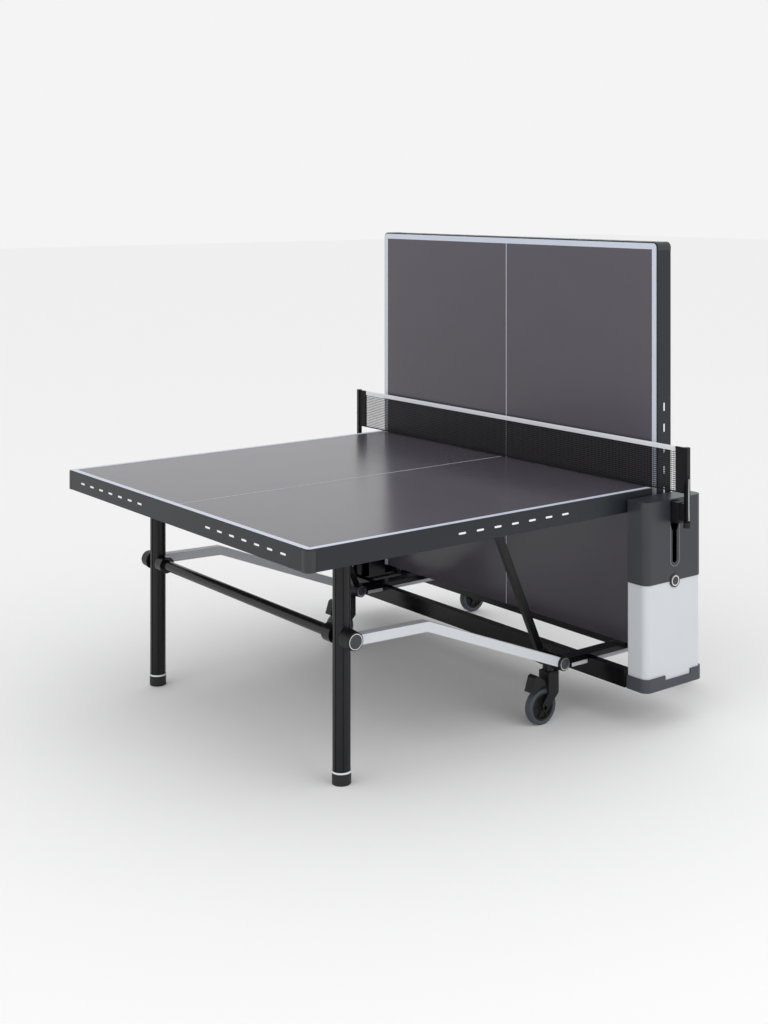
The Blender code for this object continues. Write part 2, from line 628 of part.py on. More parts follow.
def half_arms(prefix, end, arms):
    """Bent silver bars with a round hub at each end, drawn with the half flat."""
    def flat(y, z):
        return end * (y - BASE_HUB_Y), z - BASE_HUB_Z
    line = [flat(LEG_Y, LEG_HUB_Z), flat(ARM_KNEE_Y, ARM_KNEE_Z), flat(BASE_HUB_Y, BASE_HUB_Z)]
    for side, tag in ((-1, "left"), (1, "right")):
        x0, x1 = side * ARM_IN, side * (ARM_IN + ARM_SLAB)
        bar = add(f"{prefix}_arm_{tag}",
                  plate(bar_outline(line, ARM_HEIGHT), "X", min(x0, x1), max(x0, x1)), "silver", arms)
        hub_out = side * (ARM_IN + HUB_LENGTH)
        y, z = line[0]
        combine(bar, [rod(HUB_R, (side * ARM_IN, y, z), (hub_out, y, z), 32),
                      rod(BASE_HUB_R, (side * ARM_IN, 0, 0), (hub_out, 0, 0), 32)], "UNION")
        combine(bar, [rod(PIVOT_PIN_R + RUNNING, (side * (ARM_IN - CUT), 0, 0),
                          (side * (ARM_IN + HUB_LENGTH - BASE_CAP), 0, 0), 24)], "DIFFERENCE")


def half_struts(prefix, end, struts):
    """Flat struts hung from the board's lugs, each with a round hub beside the base casting."""
    y0 = end * (BASE_HUB_Y - FOLD_Y - STRUT_TOP_S)
    z0 = BASE_HUB_Z - LEG_HINGE_Z
    for side, tag in ((-1, "left"), (1, "right")):
        x0, x1 = side * STRUT_IN, side * STRUT_OUT
        bar = add(f"{prefix}_strut_{tag}",
                  plate(bar_outline([(0, 0), (y0, z0)], STRUT_WIDTH), "X", min(x0, x1), max(x0, x1)),
                  "black_steel", struts)
        pin_end = side * (STRUT_IN - CLEAR - LUG_THICK)
        combine(bar, [rod(STRUT_WIDTH / 2, (x0, 0, 0), (x1, 0, 0)),
                      rod(HINGE_PIN_R, (pin_end, 0, 0), (side * (STRUT_IN + JOIN), 0, 0), 24),
                      rod(BASE_HUB_R, (side * (STRUT_IN - STRUT_HUB_OUT), y0, z0),
                          (side * (STRUT_OUT + CLEAR / 2), y0, z0))], "UNION")


def table_half(prefix, end, raised):
    """One half on its moving empties: end is -1 for the near half, +1 for the far one."""
    fold = math.pi / 2 * raised * end
    drop = GLIDE_TRAVEL * raised
    glide = empty(f"{prefix}_glide", (0, end * FOLD_Y, FOLD_Z - drop), root)
    top = empty(f"{prefix}_fold", (0, 0, 0), glide, (fold, 0, 0))
    legs = empty(f"{prefix}_leg_hinge", (0, end * (LEG_Y - FOLD_Y), LEG_HINGE_Z - FOLD_Z), top, (-fold, 0, 0))
    arms = empty(f"{prefix}_arm_hinge", (0, end * BASE_HUB_Y, BASE_HUB_Z), root,
                 (end * raised * arm_swing(), 0, 0))
    struts = empty(f"{prefix}_strut_hinge", (0, end * STRUT_TOP_S, LEG_HINGE_Z - FOLD_Z), top,
                   (end * raised * (strut_swing() - math.pi / 2), 0, 0))
    half_board(prefix, end, top)
    half_carriages(prefix, glide)
    half_legs(prefix, legs)
    half_arms(prefix, end, arms)
    half_struts(prefix, end, struts)


def raised_place(s, drop_below):
    """Where a point of the flat half (s along the board, below the pivot) goes when it is raised."""
    return FOLD_Y + drop_below, FOLD_Z - GLIDE_TRAVEL + s


def swing(flat_point, raised_point):
    """Angle about the base hub between two places, in the plane seen from the side."""
    a = Vector(flat_point) - Vector((BASE_HUB_Y, BASE_HUB_Z))
    b = Vector(raised_point) - Vector((BASE_HUB_Y, BASE_HUB_Z))
    return math.atan2(b.y, b.x) - math.atan2(a.y, a.x)


def arm_swing():
    y, z = raised_place(LEG_Y - FOLD_Y, FOLD_Z - LEG_HINGE_Z)
    return swing((LEG_Y, LEG_HUB_Z), (y, z - (LEG_HINGE_Z - LEG_HUB_Z)))


def strut_swing():
    return swing((FOLD_Y + STRUT_TOP_S, LEG_HINGE_Z), raised_place(STRUT_TOP_S, FOLD_Z - LEG_HINGE_Z))


base_frame()
for side, tag in ((-1, "left"), (1, "right")):
    tray(side, tag)
    cover(side, tag, "lower")
    cover(side, tag, "upper")
    guide_post(side, tag)
    net_end(side, tag)
    for end, where in ((-1, "near"), (1, "far")):
        hub_casting(side, end, f"{where}_{tag}")
        caster(side, end, f"{where}_{tag}")
net()
table_half("near", -1, 0)
table_half("far", 1, 1)
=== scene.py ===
"""Looks of the outdoor ping pong table in its playback position.

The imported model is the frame: every piece here is placed from its nodes' boxes and rides on one of
its bodies. Metres, +Z up. Pieces of a half are drawn in that half's flat frame: x across, d outward
from the net plane, h above the playing surface.
"""
import json
import math

import bmesh
import bpy
from mathutils import Matrix, Vector


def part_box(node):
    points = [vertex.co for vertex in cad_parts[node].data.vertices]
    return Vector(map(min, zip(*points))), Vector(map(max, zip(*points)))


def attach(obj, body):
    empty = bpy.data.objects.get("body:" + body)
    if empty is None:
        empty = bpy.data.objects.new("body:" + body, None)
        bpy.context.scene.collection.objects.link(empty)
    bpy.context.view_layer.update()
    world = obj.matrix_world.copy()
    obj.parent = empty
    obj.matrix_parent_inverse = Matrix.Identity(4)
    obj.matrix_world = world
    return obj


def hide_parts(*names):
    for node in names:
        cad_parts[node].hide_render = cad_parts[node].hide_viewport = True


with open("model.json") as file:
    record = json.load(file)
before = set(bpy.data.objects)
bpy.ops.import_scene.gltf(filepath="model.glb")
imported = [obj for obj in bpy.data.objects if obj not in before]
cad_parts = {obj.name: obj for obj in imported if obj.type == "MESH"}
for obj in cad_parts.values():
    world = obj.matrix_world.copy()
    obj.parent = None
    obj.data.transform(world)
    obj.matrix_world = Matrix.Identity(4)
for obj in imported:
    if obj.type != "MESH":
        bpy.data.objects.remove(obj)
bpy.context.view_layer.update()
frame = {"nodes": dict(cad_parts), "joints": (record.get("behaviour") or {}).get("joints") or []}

SIDES = (("left", -1), ("right", 1))
HALVES = ("near", "far")
CORNERS = [(half, tag, side) for half in HALVES for tag, side in SIDES]
MM = 0.001


def low(node):
    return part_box(node)[0]


def high(node):
    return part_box(node)[1]


def middle(node):
    return (low(node) + high(node)) / 2


NET_Y = middle("net").y
PLAY_Z = high("near_board").z
HALF_WIDTH = high("near_apron_frame").x
BOARD_X = high("near_board").x
BOARD_LOW_D = NET_Y - high("near_board").y
BOARD_D = NET_Y - low("near_board").y
APRON_D = NET_Y - low("near_apron_frame").y
APRON_H = -0.065               # the apron's lower edge; its hinge lugs reach lower
NEAR_FRAME = Matrix(((1, 0, 0, 0), (0, -1, 0, NET_Y), (0, 0, 1, PLAY_Z), (0, 0, 0, 1)))
FAR_FRAME = Matrix(((1, 0, 0, 0), (0, 0, -1, low("far_board").y),
                    (0, 1, 0, low("far_board").z - BOARD_LOW_D), (0, 0, 0, 1)))
FLAT = {"near": NEAR_FRAME, "far": FAR_FRAME}

# ---- camera and light ---------------------------------------------------------------------------
CAMERA_PLACE = (4.1719, NET_Y - 3.6284, 1.7416)
CAMERA_TURN = 50.98            # degrees round Z from looking along +Y
LENS_MM = 52.28
SENSOR_MM = 36.0
SHIFT = (-0.0649, -0.3126)     # the view's middle is below and right of the level line of sight


def camera():
    cam = bpy.data.cameras.new("camera")
    cam.lens = LENS_MM
    cam.sensor_width = SENSOR_MM
    cam.shift_x, cam.shift_y = SHIFT
    obj = bpy.data.objects.new("camera", cam)
    obj.location = CAMERA_PLACE
    obj.rotation_euler = (math.pi / 2, 0, math.radians(CAMERA_TURN))
    bpy.context.scene.collection.objects.link(obj)
    bpy.context.scene.camera = obj


def area_light(name, place, target, size, watts):
    light = bpy.data.lights.new(name, "AREA")
    light.shape = "RECTANGLE"
    light.size, light.size_y = size
    light.energy = watts
    obj = bpy.data.objects.new(name, light)
    obj.location = place
    aim = Vector(target) - Vector(place)
    obj.rotation_euler = aim.to_track_quat("-Z", "Y").to_euler()
    bpy.context.scene.collection.objects.link(obj)


ROOM_BRIGHTNESS = 0.905        # an even white room, as bright as it lights
FLOOR_REACH = 40               # metres each way from the middle
SOFTBOXES = (                  # name, place, target, size, watts
    ("right_softbox", (5.5, 0.5, 3.2), (0.3, 0.2, 0.5), (4.0, 3.0), 45),
    ("front_softbox", (1.0, -5.5, 3.6), (0, 0, 0.6), (5.0, 3.0), 30),
)


def room():
    """A plain white room all round the table."""
    world = bpy.data.worlds.new("studio")
    world.use_nodes = True
    shader = world.node_tree.nodes["Background"]
    shader.inputs["Color"].default_value = (1, 1, 1, 1)
    shader.inputs["Strength"].default_value = ROOM_BRIGHTNESS
    bpy.context.scene.world = world
    bpy.context.scene.view_settings.view_transform = "Standard"


def studio():
    """The room, two big soft lights on the near side and a pale floor that runs on out of view."""
    room()
    for softbox in SOFTBOXES:
        area_light(*softbox)
    bm = bmesh.new()
    bmesh.ops.create_grid(bm, x_segments=1, y_segments=1, size=FLOOR_REACH)
    mesh = bpy.data.meshes.new("floor")
    bm.to_mesh(mesh)
    bm.free()
    floor = bpy.data.objects.new("floor", mesh)
    bpy.context.scene.collection.objects.link(floor)
    mesh.materials.append(studio_floor())


# ---- materials ----------------------------------------------------------------------------------
def linear(hex_colour):
    """An sRGB hex colour as linear RGBA."""
    parts = [int(hex_colour[i:i + 2], 16) / 255 for i in (1, 3, 5)]
    return tuple(c / 12.92 if c <= 0.04045 else ((c + 0.055) / 1.055) ** 2.4 for c in parts) + (1.0,)


def put(tree, kind, inputs=None, **settings):
    """Adds a node, with its settings and its inputs, each a value or a socket to link."""
    node = tree.nodes.new(kind)
    for key, value in settings.items():
        setattr(node, key, value)
    for key, value in (inputs or {}).items():
        if isinstance(value, bpy.types.NodeSocket):
            tree.links.new(value, node.inputs[key])
        else:
            node.inputs[key].default_value = value
    return node


def finish(name, colours, roughness, metallic=0.0, grain_mm=1.0, grain_depth_mm=0.02,
           cloud_mm=180.0, roughness_swing=0.06, edge_mm=1.0, stretch=(1, 1, 1), specular=0.5):
    """A surface with a fine grain, a faint cloudiness between two colours and eased edges."""
    mat = bpy.data.materials.new(name)
    mat.use_nodes = True
    tree = mat.node_tree
    shader = tree.nodes["Principled BSDF"]
    shader.inputs["Metallic"].default_value = metallic
    shader.inputs["Specular IOR Level"].default_value = specular
    place = put(tree, "ShaderNodeTexCoord").outputs["Object"]
    place = put(tree, "ShaderNodeMapping", {"Vector": place, "Scale": stretch}).outputs["Vector"]
    cloud = put(tree, "ShaderNodeTexNoise", {"Vector": place, "Scale": 1 / (cloud_mm * MM), "Detail": 3.0})
    tint = put(tree, "ShaderNodeMix", {0: cloud.outputs["Fac"], 6: linear(colours[0]), 7: linear(colours[1])},
               data_type="RGBA")
    tree.links.new(tint.outputs[2], shader.inputs["Base Color"])
    wear = put(tree, "ShaderNodeMapRange", {"Value": cloud.outputs["Fac"],
                                            "To Min": roughness - roughness_swing / 2,
                                            "To Max": roughness + roughness_swing / 2})
    tree.links.new(wear.outputs["Result"], shader.inputs["Roughness"])
    grain = put(tree, "ShaderNodeTexNoise", {"Vector": place, "Scale": 1 / (grain_mm * MM), "Detail": 2.0})
    eased = put(tree, "ShaderNodeBevel", {"Radius": edge_mm * MM}, samples=4)
    bump = put(tree, "ShaderNodeBump", {"Height": grain.outputs["Fac"], "Distance": grain_depth_mm * MM,
                                        "Normal": eased.outputs["Normal"]})
    tree.links.new(bump.outputs["Normal"], shader.inputs["Normal"])
    return mat


def studio_floor():
    """Matt painted floor, almost white."""
    mat = bpy.data.materials.new("painted_floor")
    mat.use_nodes = True
    shader = mat.node_tree.nodes["Principled BSDF"]
    shader.inputs["Base Color"].default_value = linear("#fafafa")
    shader.inputs["Roughness"].default_value = 0.9
    shader.inputs["Specular IOR Level"].default_value = 0.0
    return mat


# The grain of every finish is drawn coarser than the real one, so that it shows from across a room.

# Melamine resin laminate, pressed on a fine matt plate: a soft sheen that mirrors what stands on it.
RESIN = finish("melamine_laminate", ("#504d55", "#55525a"), 0.22, grain_mm=1.2, grain_depth_mm=0.012,
               roughness_swing=0.04, edge_mm=0.8, specular=0.42)
# Screen-printed two-part line paint: bright, flat and slightly satin.
LINE_PAINT = finish("line_paint", ("#c9d1e0", "#d3dae8"), 0.5, grain_mm=1.5, edge_mm=0.1)
# Polyester powder coat on steel, anthracite: a fine orange peel with a satin gloss.
ANTHRACITE = finish("anthracite_powder_coat", ("#202429", "#24282d"), 0.38, grain_mm=2.0,
                    grain_depth_mm=0.03, edge_mm=1.5, specular=0.3)
# The same powder coat in black: tubes and castings.
BLACK_COAT = finish("black_powder_coat", ("#0a0a0b", "#0e0e0f"), 0.20, grain_mm=2.0, grain_depth_mm=0.03,
                    edge_mm=1.5, specular=0.35)
# Extruded aluminium, brushed along its length and anodised black: long soft streaks of light.
ANODISED = finish("black_anodised_aluminium", ("#17171a", "#1d1d20"), 0.26, metallic=0.3, specular=0.4,
                  grain_depth_mm=0.008, edge_mm=0.4, stretch=(1, 1, 0.03))
# Silver powder coat with metal flake: pale, with a soft metallic roll-off.
SILVER_COAT = finish("silver_powder_coat", ("#ccd0d5", "#d4d8dc"), 0.42, metallic=0.1, grain_mm=1.5,
                     grain_depth_mm=0.02, edge_mm=1.5)
# ABS mouldings with a spark-eroded grain: matt, with a faint bloom on the raised grain.
ABS_ANTHRACITE = finish("anthracite_abs", ("#2b2e34", "#303339"), 0.34, grain_mm=1.0, grain_depth_mm=0.04,
                        edge_mm=2.0)
# The same ABS, smooth from a polished mould, but in a paler grey than the cover: painted highlight along the
# slot's bead.
BEAD_PAINTED_HIGHLIGHT = finish("bead_painted_highlight_abs", ("#6a7078", "#727880"), 0.22, grain_mm=1.0, grain_depth_mm=0.01,
                      edge_mm=0.6)
# The lower cover's pale ABS: matt, so that it stays even from any side.
ABS_LIGHT = finish("light_grey_abs", ("#cbced3", "#d2d5da"), 0.45, grain_mm=1.0, grain_depth_mm=0.04,
                   edge_mm=1.5)
# The tray's dark ABS: the deepest grain, which takes nearly all the shine off.
ABS_TRAY = finish("dark_grey_abs", ("#3c3e46", "#42444c"), 0.48, grain_mm=1.0, grain_depth_mm=0.05,
                  edge_mm=2.0)
# Glass-filled nylon: near black, duller than the steel beside it.
NYLON_BLACK = finish("black_nylon", ("#121214", "#19191b"), 0.46, grain_mm=1.2, grain_depth_mm=0.04,
                     edge_mm=1.0, specular=0.3)
# Lighter nylon of the hub caps and badges: a shade that lifts them from the black round them.
CAP_GREY = finish("anthracite_nylon", ("#2e3035", "#35373c"), 0.42, grain_mm=1.2, edge_mm=1.0)
# Moulded corner caps: as dark as the apron, with a softer edge that catches a broad light.
CORNER_NYLON = finish("corner_nylon", ("#26292d", "#2b2e32"), 0.40, grain_mm=1.2, edge_mm=1.5)
# Screen-printed white on the apron's powder coat.
MARK_PAINT = finish("white_mark_paint", ("#e6e8ec", "#f0f1f4"), 0.5, grain_mm=1.5, edge_mm=0.1)
# Turned aluminium, polished: a bright thin line of light.
RING_METAL = finish("polished_aluminium", ("#d8dadc", "#e2e4e6"), 0.18, metallic=1.0, grain_mm=0.8,
                    grain_depth_mm=0.004, edge_mm=0.2)
# Zinc-plated screws: cool grey and half bright.
ZINC = finish("zinc_plated_steel", ("#9a9da1", "#a6a9ad"), 0.3, metallic=1.0, grain_mm=1.0, edge_mm=0.3)
# Thermoplastic rubber tread, ground smooth: dull blue grey.
TYRE_RUBBER = finish("grey_rubber", ("#3a4048", "#434951"), 0.62, grain_mm=1.5, grain_depth_mm=0.05,
                     edge_mm=1.0)
# Black rubber of the feet: flat, with almost no highlight.
FOOT_RUBBER = finish("black_rubber", ("#121213", "#19191a"), 0.6, grain_mm=1.5, grain_depth_mm=0.05)
# White nylon washers and rings: slightly translucent to the eye, so their shade stays light.
NYLON_WHITE = finish("white_nylon", ("#e4e5e6", "#eeeff0"), 0.45, grain_mm=1.0)


def woven(name, colours, yarn_mm, roughness=0.85, sheen=0.3, specular=0.5):
    """Plain woven band: crossed yarns with the lighter colour painted on their crowns as highlight, the
    darker one between them as painted shade, and a soft sheen.
    """
    mat = bpy.data.materials.new(name)
    mat.use_nodes = True
    tree = mat.node_tree
    shader = tree.nodes["Principled BSDF"]
    shader.inputs["Roughness"].default_value = roughness
    shader.inputs["Sheen Weight"].default_value = sheen
    shader.inputs["Specular IOR Level"].default_value = specular
    place = put(tree, "ShaderNodeTexCoord").outputs["Object"]
    # A wave has one band in 2 pi / 20 units of its scale, and a band is one yarn.
    scale = 2 * math.pi / 20 / (yarn_mm * MM)
    across = put(tree, "ShaderNodeTexWave", {"Vector": place, "Scale": scale}, bands_direction="X")
    along = put(tree, "ShaderNodeTexWave", {"Vector": place, "Scale": scale}, bands_direction="Z")
    # Painted highlight on the yarns' crowns and painted shade between them.
    crown = put(tree, "ShaderNodeMath", {0: across.outputs["Fac"], 1: along.outputs["Fac"]},
                operation="MULTIPLY")
    tint = put(tree, "ShaderNodeMix", {0: crown.outputs[0], 6: linear(colours[0]), 7: linear(colours[1])},
               data_type="RGBA")
    tree.links.new(tint.outputs[2], shader.inputs["Base Color"])
    bump = put(tree, "ShaderNodeBump", {"Height": crown.outputs[0], "Distance": 0.15 * MM})
    tree.links.new(bump.outputs["Normal"], shader.inputs["Normal"])
    return mat


# Woven polyester tape over the net's top: clean white, with its weave just visible through painted shade
# between the yarns.
TAPE = woven("polyester_tape", ("#dcdde6", "#fafafd"), 1.6)
# Knotted nylon yarn of the net.
NET_YARN = woven("nylon_net_yarn", ("#09090b", "#131316"), 0.8, sheen=0.05, specular=0.2)
# Woven polyester at the net's ends: black and flat, with a faint rib.
SLEEVE_CLOTH = woven("net_sleeve_cloth", ("#101013", "#1d1d21"), 1.2, sheen=0.1, specular=0.2)
# Braided polyester cord: white crowns with grey painted between them as shade, which reads as a twist.
CORD_YARN = woven("white_cord", ("#b9bbc0", "#f2f2f4"), 1.5)


# ---- mesh work ----------------------------------------------------------------------------------
def mesh_of(build):
    bm = bmesh.new()
    build(bm)
    bmesh.ops.recalc_face_normals(bm, faces=bm.faces)
    mesh = bpy.data.meshes.new("shape")
    bm.to_mesh(mesh)
    bm.free()
    return mesh


def joined(meshes):
    """Several meshes as one."""
    bm = bmesh.new()
    for mesh in meshes:
        bm.from_mesh(mesh)
    made = bpy.data.meshes.new("joined")
    bm.to_mesh(made)
    bm.free()
    return made


def moved(mesh, matrix):
    """A mesh put in place, with its faces still outward if the matrix mirrors it."""
    mesh.transform(matrix)
    if matrix.determinant() < 0:
        mesh.flip_normals()
    return mesh


def box(lowest, highest):
    lowest, highest = Vector(lowest), Vector(highest)

    def build(bm):
        bmesh.ops.create_cube(bm, size=1.0)
        bmesh.ops.scale(bm, vec=highest - lowest, verts=bm.verts)
        bmesh.ops.translate(bm, vec=(lowest + highest) / 2, verts=bm.verts)
    return mesh_of(build)


def plate(outline, bottom, top):
    """An outline in x and y, extruded along z."""
    def build(bm):
        face = bm.faces.new([bm.verts.new((x, y, bottom)) for x, y in outline])
        grown = bmesh.ops.extrude_face_region(bm, geom=[face])
        lifted = [v for v in grown["geom"] if isinstance(v, bmesh.types.BMVert)]
        bmesh.ops.translate(bm, vec=(0, 0, top - bottom), verts=lifted)
    return mesh_of(build)


def arc(center, radius, start, end, steps=8):
    """Points on an arc, angles in degrees."""
    turn = [math.radians(start + (end - start) * i / steps) for i in range(steps + 1)]
    return [(center[0] + radius * math.cos(a), center[1] + radius * math.sin(a)) for a in turn]


def turned(profile, place, axis, steps=40):
    """A profile of (radius, along) points turned about an axis through place; ends on the axis close it."""
    def build(bm):
        rings = []
        for radius, along in profile:
            if radius == 0:
                rings.append([bm.verts.new((0, 0, along))])
            else:
                rings.append([bm.verts.new((radius * math.cos(2 * math.pi * i / steps),
                                            radius * math.sin(2 * math.pi * i / steps), along))
                              for i in range(steps)])
        for before, after in zip(rings, rings[1:]):
            for i in range(steps):
                j = (i + 1) % steps
                corners = [before[i % len(before)], before[j % len(before)],
                           after[j % len(after)], after[i % len(after)]]
                bm.faces.new(list(dict.fromkeys(corners)))
        if profile[0][0] and profile[-1][0]:
            for i in range(steps):
                j = (i + 1) % steps
                bm.faces.new([rings[-1][i], rings[-1][j], rings[0][j], rings[0][i]])
    turn = Vector(axis).to_track_quat("Z", "Y").to_matrix().to_4x4()
    return moved(mesh_of(build), Matrix.Translation(Vector(place)) @ turn)


def tube(name, points, radius):
    """A round cord or wire on a smooth line through points."""
    curve = bpy.data.curves.new(name, "CURVE")
    curve.dimensions = "3D"
    curve.bevel_depth = radius
    curve.bevel_resolution = 3
    curve.use_fill_caps = True
    spline = curve.splines.new("POLY")
    spline.points.add(len(points) - 1)
    for slot, point in zip(spline.points, points):
        slot.co = (*point, 1)
    return curve


EASED_STEPS = 3
EASED_FROM = 50                # degrees; a blunter edge than this stays as it is


def piece(name, data, mat, body, replaces=(), smooth=35, bevel=0.0):
    """A piece in its place, on its body, with its finish."""
    obj = bpy.data.objects.new(name, data)
    bpy.context.scene.collection.objects.link(obj)
    data.materials.append(mat)
    if smooth and isinstance(data, bpy.types.Mesh):
        data.shade_smooth()
        data.set_sharp_from_angle(angle=math.radians(smooth))
    if bevel:
        eased = obj.modifiers.new("eased_edges", "BEVEL")
        eased.width = bevel
        eased.segments = EASED_STEPS
        eased.limit_method = "ANGLE"
        eased.angle_limit = math.radians(EASED_FROM)
    bpy.context.view_layer.update()
    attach(obj, body)
    if replaces:
        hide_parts(*replaces)
    return obj


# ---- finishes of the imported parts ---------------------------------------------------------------
PART_FINISHES = (
    ("near_board", RESIN), ("far_board", RESIN),
    ("near_apron_frame", ANTHRACITE), ("far_apron_frame", ANTHRACITE),
    ("base_frame", BLACK_COAT), ("guide_post", BLACK_COAT), ("hub_casting", BLACK_COAT),
    ("near_carriage", BLACK_COAT), ("far_carriage", BLACK_COAT),
    ("near_leg_crossbar", BLACK_COAT), ("far_leg_crossbar", BLACK_COAT),
    ("near_leg", ANODISED), ("far_leg", ANODISED),
    ("near_foot", FOOT_RUBBER), ("far_foot", FOOT_RUBBER),
    ("near_arm", SILVER_COAT), ("far_arm", SILVER_COAT),
    ("near_strut", BLACK_COAT), ("far_strut", BLACK_COAT),
    ("tray", ABS_TRAY), ("cover_upper", ABS_ANTHRACITE), ("cover_lower", ABS_LIGHT),
    ("net_bracket", NYLON_BLACK), ("net_post", BLACK_COAT), ("post_knob", NYLON_BLACK),
    ("caster_fork", NYLON_BLACK), ("brake_pedal", NYLON_BLACK), ("wheel", TYRE_RUBBER),
    ("net_tape", TAPE), ("net", NET_YARN),
)


def paint_parts():
    for name, obj in frame["nodes"].items():
        mat = next(m for start, m in PART_FINISHES if name.startswith(start))
        obj.data.materials.clear()
        obj.data.materials.append(mat)


# ---- halves: lines, corner caps, apron marks ----------------------------------------------------
LINE_WIDTH = 0.020
CENTRE_LINE = 0.003
LINE_RISE = (0.0001, 0.0004)   # bottom and top of the paint above the board
BOARD_CORNER = 0.014
APRON_CORNER = 0.018
CAP_LEG = 0.028
CAP_PROUD = 0.0006
CAP_WALL = 0.003
DASH_LONG, DASH_TALL = 0.028, 0.006
DASH_PITCH = 0.070
DASH_COUNT = 7
END_DASHES = 0.22              # the first dash from the middle of the end apron, on each side
SIDE_DASHES = 0.40             # the first dash along a side apron
MARK_THICK = 0.0003
MARK_H = APRON_H / 2           # along the middle of the apron
CAP_TOP = -0.003               # the corner cap stops short of the playing surface


def border_line():
    """White line round the board's three outer edges."""
    inner = BOARD_X - LINE_WIDTH
    end, inner_end = BOARD_D, BOARD_D - LINE_WIDTH
    turn = BOARD_X - BOARD_CORNER
    outline = [(BOARD_X, BOARD_LOW_D)]
    outline += arc((turn, end - BOARD_CORNER), BOARD_CORNER, 0, 90, 6)
    outline += arc((-turn, end - BOARD_CORNER), BOARD_CORNER, 90, 180, 6)
    outline += [(-BOARD_X, BOARD_LOW_D), (-inner, BOARD_LOW_D), (-inner, inner_end),
                (inner, inner_end), (inner, BOARD_LOW_D)]
    return plate(outline, *LINE_RISE)


def centre_line():
    half = CENTRE_LINE / 2
    return box((-half, BOARD_LOW_D, LINE_RISE[0]), (half, BOARD_D - LINE_WIDTH, LINE_RISE[1]))


def corner_cap():
    """L-shaped moulding round the apron's outer corner, drawn for the +x side."""
    r = APRON_CORNER + CAP_PROUD
    cx, cd = HALF_WIDTH - APRON_CORNER, APRON_D - APRON_CORNER
    x1, d1 = HALF_WIDTH + CAP_PROUD, APRON_D + CAP_PROUD
    x0, d0 = x1 - CAP_WALL, d1 - CAP_WALL
    outline = [(x1, d1 - CAP_LEG)] + arc((cx, cd), r, 0, 90, 8) + [(x1 - CAP_LEG, d1), (x1 - CAP_LEG, d0)]
    outline += arc((cx, cd), r - CAP_WALL, 90, 0, 8) + [(x0, d1 - CAP_LEG)]
    return plate(outline, APRON_H - CAP_PROUD, CAP_TOP)


def dash():
    """A plain painted dash with round ends."""
    r, x = DASH_TALL / 2, (DASH_LONG - DASH_TALL) / 2
    return plate(arc((x, 0), r, -90, 90, 6) + arc((-x, 0), r, 90, 270, 6), 0.0, MARK_THICK)


def apron_marks():
    """Even rows of equal dashes, two on the end apron and one on each side apron."""
    made = []
    for side in (-1, 1):
        for i in range(DASH_COUNT):
            along = side * (END_DASHES + DASH_PITCH * i)
            made.append(moved(dash(), Matrix(((1, 0, 0, along), (0, 0, 1, APRON_D),
                                              (0, 1, 0, MARK_H), (0, 0, 0, 1)))))
            along = SIDE_DASHES + DASH_PITCH * i
            made.append(moved(dash(), Matrix(((0, 0, side, side * HALF_WIDTH), (1, 0, 0, along),
                                              (0, 1, 0, MARK_H), (0, 0, 0, 1)))))
    return joined(made)


def dress_halves():
    for half in HALVES:
        flat, body = FLAT[half], f"{half}_top"
        paint = joined([border_line(), centre_line()])
        piece(f"{half}_lines", moved(paint, flat), LINE_PAINT, body, smooth=0)
        piece(f"{half}_apron_marks", moved(apron_marks(), flat), MARK_PAINT, body, smooth=0)
        for tag, side in SIDES:
            turn = flat @ Matrix.Diagonal((side, 1, 1, 1))
            piece(f"{half}_corner_cap_{tag}", moved(corner_cap(), turn), CORNER_NYLON, body,
                  bevel=0.6 * MM)


# ---- pivots: sleeves, rings and caps ------------------------------------------------------------
def joint_place(name):
    return Vector(next(j["pos_m"] for j in frame["joints"] if j["name"] == name))


BASE_HUB_Y = NET_Y - joint_place("near_arm_hinge").y
BASE_HUB_Z = joint_place("near_arm_hinge").z
BASE_HUB_R = 0.023
LEG_HUB_R = 0.027
LEG_HUB = {half: (middle(f"{half}_leg_crossbar").y, middle(f"{half}_leg_crossbar").z) for half in HALVES}
STRUT_HUB_FACE = 0.498         # x of the strut hub's inner and outer ends
STRUT_HUB_BACK = 0.5355
SLEEVE_PROUD = 0.0006
RING_WIDTH = 0.0022
RING_PROUD = 0.0008
HUB_FLARE = 1.10               # the barrel is wider where it meets the leg
HUB_FLARE_ENDS = 0.25          # as parts of its length: the flare ends, and the straight barrel begins
HUB_STRAIGHT_FROM = 0.8
HUB_EDGE = 0.0015
HUB_SINK = 0.0002
RING_INSET = 0.004             # from the barrel's edge
RING_SINK = 0.0005
CAP_DISH = 0.0004              # the cap starts this far below the ring's face
CAP_DOME = (0.0006, 0.0009)    # and rises this far above it, at its shoulder and in its middle
CAP_SHOULDER = 0.9             # of the cap's radius


def pivot_hub(name, inner, outer, radius, body):
    """Black barrel over a pivot, from inner to outer, with a bright ring and a dark cap on its face."""
    axis = (Vector(outer) - Vector(inner)).normalized()
    length = (Vector(outer) - Vector(inner)).length
    r = radius + SLEEVE_PROUD
    barrel = [(0, -HUB_SINK), (r * HUB_FLARE, -HUB_SINK), (r * HUB_FLARE, length * HUB_FLARE_ENDS),
              (r, length * HUB_STRAIGHT_FROM), (r, length), (r - HUB_EDGE, length + HUB_EDGE),
              (0, length + HUB_EDGE)]
    piece(name + "_sleeve", turned(barrel, inner, axis), NYLON_BLACK, body)
    ring_out = r - RING_INSET
    ring_in = ring_out - RING_WIDTH
    base, face = length + HUB_EDGE - RING_SINK, length + HUB_EDGE + RING_PROUD
    ring = [(ring_in, base), (ring_out, base), (ring_out, face), (ring_in, face)]
    piece(name + "_ring", turned(ring, inner, axis), RING_METAL, body)
    shoulder, crown = CAP_DOME
    cap = [(0, base), (ring_in, base), (ring_in, face - CAP_DISH), (ring_in * CAP_SHOULDER, face + shoulder),
           (0, face + crown)]
    piece(name + "_cap", turned(cap, inner, axis), CAP_GREY, body)


